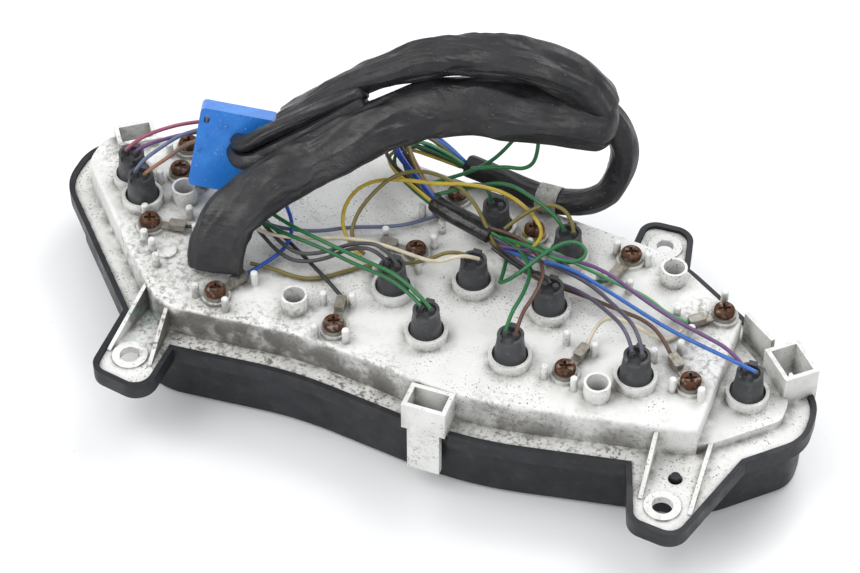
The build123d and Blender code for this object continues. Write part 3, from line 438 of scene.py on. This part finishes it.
def half_size(sizes, share):
    """The sleeve's half width and half height at a share of its length."""
    for (s0, w0, h0), (s1, w1, h1) in zip(sizes, sizes[1:]):
        if share <= s1:
            t = (share - s0) / (s1 - s0)
            t = t * t * (3 - 2 * t)
            return w0 + (w1 - w0) * t, h0 + (h1 - h0) * t
    return sizes[-1][1:]


# Points round a sleeve, how square its section is, and the shares of the cap where its rings are.
AROUND = 64
ROUNDNESS = 0.9
CAP_RINGS = (0.99, 0.94, 0.85, 0.72, 0.56, 0.38, 0.19)
# The wall of an open end, and how thick it looks from outside, in mm.
LIP = 0.4
WALL = 0.9


def sleeve(name, route, sizes, creases, seed, mouth=0.0, turn=(0, 0), cap=0.0, steps=12):
    """A soft, partly flattened tube. sizes: (share of length, half width, half height) in mm.

    cap is the length in mm of the rounded start; mouth is how deep the open end's bore is.
    """
    path = centres(route, steps)
    total = len(path) - 1
    frames = []
    for index, point in enumerate(path):
        ahead = (path[min(index + 1, total)] - path[max(index - 1, 0)]).normalized()
        if index == 0:
            side = ahead.cross(Vector((0, 0, 1))).normalized()
        side = (side - ahead * side.dot(ahead)).normalized()
        share = index / total
        angle = math.radians(turn[0] + (turn[1] - turn[0]) * share)
        wide = Matrix.Rotation(angle, 3, ahead) @ side
        frames.append((point, wide, wide.cross(ahead).normalized(), ahead, share))
    reach = sum((b - a).length for a, b in zip(path, path[1:])) / MM

    def ring(item, scale=1.0, inside=0.0, slide=0.0):
        point, wide, rise, ahead, share = item
        half_width, half_height = half_size(sizes, share)
        half_width = half_width * scale - inside
        half_height = max(half_height * scale - inside, 0.3)
        along = share * reach + slide
        points = []
        for step in range(AROUND):
            turned = 2 * math.pi * step / AROUND
            cosine, sine = math.cos(turned), math.sin(turned)
            across = half_width * math.copysign(abs(cosine) ** ROUNDNESS, cosine)
            over = half_height * math.copysign(abs(sine) ** ROUNDNESS, sine)
            # Folds run mostly along the sleeve, with a few that cross it.
            sway = noise.noise(Vector((along / 34, seed, 1.7))) * 1.6
            folds = noise.noise(Vector((along / 42, cosine * 1.5 + sway, sine * 1.5 + seed)))
            pleat = abs(noise.noise(Vector((along / 60, cosine * 2.3 - sway, sine * 2.3 + seed * 3))))
            cross = noise.noise(Vector((along / 13, cosine * 0.9 + seed, sine * 0.9)))
            fine = noise.noise(Vector((along / 9, cosine * 4 + seed, sine * 4)))
            push = folds * 1.7 + max(0.12 - pleat, 0) * 9 + cross * 0.75 + fine * 0.22
            outward = (wide * cosine + rise * sine).normalized()
            points.append(
                point + (wide * across + rise * over + outward * push * creases * scale + ahead * slide) * MM
            )
        return points

    rings = []
    for part in CAP_RINGS:
        if cap:
            rings.append(ring(frames[0], math.sqrt(1 - part * part), 0, -cap * part))
    rings.extend(ring(item) for item in frames)
    if mouth:
        # The open end: the wall turns inwards and runs back inside, where the bore goes dark.
        rings.append(ring(frames[-1], 1, LIP, 0.25))
        inner = [item for item in frames if (path[-1] - item[0]).length < mouth * MM]
        rings.extend(ring(item, 1, WALL) for item in reversed(inner[:-1]))
    body = skin(name, rings)
    smooth = body.modifiers.new("smooth", "SUBSURF")
    smooth.levels = 1
    smooth.render_levels = 1
    body.data.materials.append(pvc.material)
    return body, path


# Wires: piece, colours, and for each its length in mm and the route's points.
WIRES = {
    "left_lamp_wires": [
        ("pink", 49, [(-144, 15, 60), (-139, 15, 67), (-131, 21, 70), (-124, 33, 66), (-118, 46, 58)]),
        ("purple", 46, [(-140, 15, 60), (-136, 13, 66), (-128, 20, 67), (-122, 32, 62), (-116, 44, 55)]),
        ("slate", 59, [(-135, 4.5, 60), (-132, 3, 67), (-126, 10, 71), (-123, 23, 68), (-120, 36, 61),
                       (-119, 48, 54)]),
        ("tan", 55, [(-131, 4.5, 60), (-128, 2, 65), (-123, 9, 67), (-121, 22, 64), (-119, 34, 58),
                     (-115, 46, 51)]),
    ],
    "middle_lamp_wires": [
        ("grey", 71, [(-21.5, -8, 60), (-27, -7, 65), (-39, -4, 58), (-49, -6, 50), (-59, -10, 48.5),
                      (-68, -8, 49), (-76, -3, 50), (-83, 1, 52)]),
        ("grey", 75, [(-17.5, -8, 60), (-23, -6, 67), (-37, -3, 61), (-49, -5, 53), (-59, -8, 51),
                      (-68, -5, 51.5), (-76, 0, 52.5), (-83, 4, 54)]),
        ("green", 91, [(-1, -25.5, 60), (-12, -19, 63), (-33, -11, 57), (-50, -5, 55), (-66, -2, 54),
                       (-77, 1, 53.5), (-85, 4, 54)]),
        ("green", 95, [(3, -25.5, 60), (-10, -19, 66), (-31, -10, 60), (-49, -4, 57.5), (-65, 1, 56),
                       (-76, 5, 56), (-84, 8, 57)]),
        ("olive", 94, [(7, 6, 60), (1, 5, 63), (-10, 2, 55), (-21, 4, 48), (-32, 2.5, 45.2), (-41, -5, 45.2),
                       (-49, -12.5, 45.2), (-58, -15, 45.2), (-68, -14, 46), (-77, -15.5, 47)]),
        ("cream", 104, [(11, 6, 60), (6, 2, 65), (-4, 0, 58), (-17, 5, 53.5), (-31, 8, 52), (-44, 6, 52.5),
                       (-54, 1.5, 53), (-65, -2, 53), (-76, -3, 52), (-84.4, -1.4, 53.8)]),
    ],
    "upper_lamp_wires": [
        ("dark_green", 33, [(5, 38, 60), (4, 39, 66), (-3, 40, 66), (-12, 38, 60), (-21, 36, 56)]),
        ("green", 60, [(37, 33, 60), (34, 33, 66), (23, 38.5, 67), (9, 44, 67), (-5, 41, 62), (-16, 35, 60)]),
        ("olive", 37, [(41, 33, 60), (39, 36, 66), (30, 38, 68), (20, 35, 62), (14, 28, 57)]),
    ],
    "lower_lamp_wires": [
        ("green", 48, [(33.5, -26.5, 60), (34, -23, 66), (34, -12, 63), (33, -2, 59), (32, 8, 58),
                       (27, 17, 56)]),
        ("brown", 48, [(37.5, -26.5, 60), (38, -22, 67), (39, -11, 65), (39, -1, 64), (37, 8, 63),
                       (31, 16, 61)]),
        ("ink", 36, [(41.5, 3, 60), (38, 6, 61.5), (30, 10, 56), (21, 15, 53.5), (12, 20, 53.5)]),
    ],
    "right_lamp_wires": [
        ("mauve", 73, [(81.5, -20, 60), (78, -15, 65), (66, -3, 60), (53, 9, 53.5), (40, 14, 50),
                       (26, 19, 48)]),
        ("mauve", 75, [(85.5, -20, 60), (82, -14, 66), (69, 0, 60), (55, 12, 56), (41, 17, 55),
                       (28, 20, 53.5)]),
        ("purple", 115, [(122, -4.5, 50), (116, -2, 55), (103, 4, 53), (89, 9.5, 51.5), (74, 15, 53),
                         (58, 19.5, 58), (42, 19.5, 59), (28, 18, 59), (15, 21.5, 54)]),
        ("sky", 120, [(126, -4.5, 50), (118, -5, 53), (104, 1, 50), (90, 6, 48.5), (75, 11, 49.5),
                      (59, 14, 54), (43, 16.5, 58), (28, 15, 57), (14, 24, 51)]),
    ],
    "left_gauge_wires": [
        ("ink", 31, [(-109.3, -5, 46.6), (-101, -3, 47), (-92, 0, 48.5), (-81, 5, 51.5)]),
        ("blue", 48, [(-76.2, -21.2, 46.6), (-71, -13, 47), (-66, -4, 49), (-67, 6, 52), (-74, 13, 57),
                      (-78, 18, 61)]),
        ("ink", 54, [(-35.8, -20, 46.6), (-44, -14.5, 47.5), (-54, -7.5, 47), (-63, -2, 47.5),
                     (-73, 3, 49.5), (-82, 6, 52)]),
        ("slate", 77, [(-17.6, 35.5, 46.6), (-25, 27, 47), (-36, 21.5, 47), (-48, 17, 47), (-58, 10, 47.5),
                       (-67, 6, 49), (-77, 3, 51), (-85, 4, 53)]),
    ],
    "tachometer_wires": [
        ("yellow", 142, [(17.5, 26.8, 46.6), (20, 21, 50), (27, 22, 55), (30, 30, 58), (23, 37, 60),
                         (11, 41, 64), (-3, 37, 68), (-16, 31, 69), (-29, 30, 68), (-41, 30, 64),
                         (-49, 26, 59), (-51, 17, 54), (-46, 8, 50), (-37, 2, 48)]),
        ("olive", 105, [(18.5, 27.5, 48.2), (14, 21, 51), (9, 24, 57), (1, 31, 64), (-10, 35, 69),
                        (-22, 35, 71), (-33, 31, 69), (-40, 23, 63), (-44, 14, 57), (-43, 6, 51),
                        (-36, 4, 48)]),
        ("dark_green", 38, [(59.4, 26.2, 46.6), (57.5, 21, 49), (50, 16.5, 52), (39, 22, 55), (28, 24, 55)]),
        ("cream", 47, [(61.4, -11.3, 46.6), (62, -5, 51), (66, 1, 53), (75, 3, 50), (84, 2.5, 46.5),
                       (91, 4, 45.5), (93, 10, 46)]),
    ],
    "right_gauge_wires": [
        ("mint", 59, [(94.4, 14.3, 46.6), (86, 14, 48), (77, 18.5, 50), (64, 20.5, 51), (51, 23, 52),
                      (37, 26, 53)]),
        ("brown", 57, [(93.3, -4.8, 46.6), (88, 1, 49.5), (79, 7, 49.5), (67, 10, 48), (54, 13, 47.5),
                       (42, 14.5, 47)]),
    ],
    "loose_loops": [
        ("green", 112, [(10, 26.5, 54), (21, 19, 61), (33, 13, 66), (43, 9.5, 67), (51, 12, 67),
                        (51, 19, 67.5), (44, 20, 69), (37, 11, 69), (29, 2, 62), (21, 1, 54), (20, 9, 50.5),
                        (18.5, 18, 51)]),
        ("green", 44, [(8, 60, 78), (3, 55, 70), (-5, 50, 64), (-14, 46, 60), (-24, 41, 57)]),
        ("green", 38, [(18, 56, 84), (19, 53, 75), (15, 50, 70), (6, 48, 71), (-6, 44, 69)]),
        ("blue", 71, [(-15, 64, 52), (-25, 66, 58), (-36, 66, 64), (-44, 59, 66), (-40, 50, 64),
                      (-29, 42, 60), (-18, 35, 57)]),
        ("brown", 58, [(-15, 62.5, 50), (-24, 62, 54), (-34, 61, 58), (-39, 54, 60), (-35, 46, 58),
                       (-27, 39.5, 56), (-18, 33.5, 55)]),
        ("green", 82, [(-15, 66, 49), (-26, 70, 55), (-39, 70, 60), (-48, 62, 62), (-47, 52, 60),
                       (-37, 44, 57), (-28, 38, 54.5), (-18, 34, 53.5)]),
    ],
}
TRUNK = [
    (-15, 64.5, 50), (1, 62, 50), (17, 57.5, 50), (33, 56.5, 51), (46, 59, 57),
    (51, 63, 69), (51, 66, 82), (45, 66, 94), (36, 64, 102),
]
SHRINK = [(-18, 34, 55.5), (-9, 30, 56), (1, 27, 56), (10, 24.5, 55)]
FRONT_ARM = [
    (40, 60, 95), (12, 49, 103), (-18, 41, 103), (-41, 31, 91), (-62, 16, 80), (-80, -1, 72),
    (-90, -17, 63), (-88, -24, 48),
]
UPPER_ARM = [
    (38, 64, 102), (34, 60, 115), (12, 55, 124), (-15, 51, 121), (-42, 48, 108), (-64, 44, 92), (-82, 36, 77),
]

shrink_sizes = [(0, 3.7, 3.4), (0.5, 4.0, 3.4), (1, 3.6, 3.4)]
shrink_piece, _ = sleeve("heat_shrink_tube", SHRINK, shrink_sizes, 0.2, 2)
shrink_piece.data.materials.clear()
shrink_piece.data.materials.append(shrink.material)
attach(shrink_piece, HOUSING)
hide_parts("heat_shrink")

# More strands of the bundle: the fan from the trunk's end into the shrink tube, and out of it again.
FAN = [
    (-16, 63.5, 50.5), (-26, 63, 56), (-38, 62, 61), (-42, 54, 62), (-36, 46, 60), (-27, 40, 58),
    (-17, 34, 55.5),
]
FAN_TURN = 2.4
FAN_END_SPREAD = 1.2
FAN_MIDDLE_SPREAD = 3.6
FAN_COLOURS = ["olive", "blue", "green", "tan", "ink", "mint", "brown", "yellow", "sky"]
STRANDS = [
    ("mauve", [(8, 26, 54.5), (16, 22, 51), (27, 18.6, 48.2), (34, 16, 49)]),
    ("mauve", [(8, 25, 55.5), (17, 22, 55), (29, 19.7, 53.6), (36, 18, 54.5)]),
    ("dark_green", [(8, 26.5, 56), (17, 26, 57), (28, 24, 55), (35, 22.8, 55)]),
    ("mint", [(8, 27, 55), (22, 27.5, 55), (37, 26, 53), (45, 24.3, 52.4)]),
    ("brown", [(8, 24, 54), (20, 18, 50), (34, 15, 47), (43, 14.4, 47), (49, 13.6, 47.2)]),
    ("green", [(8, 25, 57), (18, 22, 57), (26, 18, 56.5), (31, 10, 57.8)]),
    ("brown", [(8, 26, 57.5), (19, 24, 60), (30, 17, 61.5), (35.5, 10, 62.8)]),
]
for number, colour in enumerate(FAN_COLOURS):
    swing = number * FAN_TURN
    route = []
    for step, (x, y, z) in enumerate(FAN):
        spread = FAN_END_SPREAD + FAN_MIDDLE_SPREAD * math.sin(math.pi * step / (len(FAN) - 1))
        aside = (math.cos(swing), math.sin(swing), 0.8 * math.sin(swing * 1.7 + step * 0.6))
        route.append((x + spread * aside[0], y + spread * aside[1], z + spread * aside[2]))
    STRANDS.append((colour, route))
for number, (colour, route) in enumerate(STRANDS, 1):
    strand = line(f"strand_{number}", route, STRAND)
    strand.data.materials.append(INSULATION[colour])
    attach(strand, HOUSING)

for node, wires in WIRES.items():
    for number, (colour, length, route) in enumerate(wires, 1):
        cord = line(f"{node}_{number}", route, WIRE)
        cord.data.materials.append(INSULATION[colour])
        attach(cord, HOUSING)
        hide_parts(node)

trunk, trunk_path = sleeve(
    "trunk_tube", TRUNK, [(0, 4.7, 4.6), (0.3, 5.3, 5.0), (0.7, 5.8, 5.4), (1, 6.0, 5.6)], 0.3, 7, 6,
)
front_arm, front_path = sleeve(
    "front_arm_sleeve", FRONT_ARM,
    [(0, 11.0, 10), (0.14, 11.4, 8), (0.4, 11.0, 6.5), (0.75, 10.8, 5.5), (0.9, 11.2, 4.6), (1, 11.6, 4.4)],
    0.75, 3, 14, (-38, -38), 9,
)
upper_arm, upper_path = sleeve(
    "upper_arm_sleeve", UPPER_ARM,
    [(0, 9.5, 8.5), (0.2, 9.5, 7.5), (0.5, 8.8, 6.4), (1, 8.2, 5.6)], 0.8, 11, 10, (-30, -10), 7,
)
# The plug's own leads: three soft strands from the hole in its face to the upper arm.
TAILS = [
    [(-97, 23, 73.5), (-93, 15, 77), (-82, 22, 84), (-66, 32, 91), (-48, 40, 101)],
    [(-92, 25, 70), (-87, 15, 73), (-76, 20, 80), (-62, 29, 87), (-47, 38, 98)],
    [(-98, 22, 70), (-94, 13, 71), (-84, 15, 74), (-72, 22, 80), (-58, 32, 89)],
]
TAIL_SIZES = [(0, 3.6, 3.0), (0.5, 4.4, 3.4), (1, 4.8, 3.4)]
tails = []
for number, route in enumerate(TAILS, 1):
    tail, _ = sleeve(f"plug_lead_{number}", route, TAIL_SIZES, 0.3, 20 + number, steps=8)
    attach(tail, HOUSING)
    tails.append(tail)

for cord, node, path, length, width, end, pieces in (
    (trunk, "trunk_sleeve", trunk_path, 114, TRUNK_WIDTH, "object", [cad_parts["tape_band"]]),
    (front_arm, "front_sleeve", front_path, 178, ARM_WIDTH, "bare", []),
    (upper_arm, "upper_sleeve", upper_path, 146, ARM_WIDTH, "connector",
     [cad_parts["blue_connector"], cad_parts["connector_insert"], *tails]),
):
    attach(cord, HOUSING)
    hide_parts(node)

# ---- Floor --------------------------------------------------------------------------------------
bpy.ops.mesh.primitive_plane_add(size=6, location=(0, 0, 0))
floor = bpy.context.object
floor.name = "studio_floor"
floor_paint = Paint("studio_floor", (0.86, 0.865, 0.87), 0.32)
floor_paint.layer((0.80, 0.805, 0.81), floor_paint.noise(160, 0.4, 0.7))
crumbs = floor_paint.noise(2.2, 0.73, 0.77, 3)
floor_paint.layer((0.45, 0.44, 0.42), floor_paint.math("MULTIPLY", crumbs, 0.5))
floor.data.materials.append(floor_paint.material)
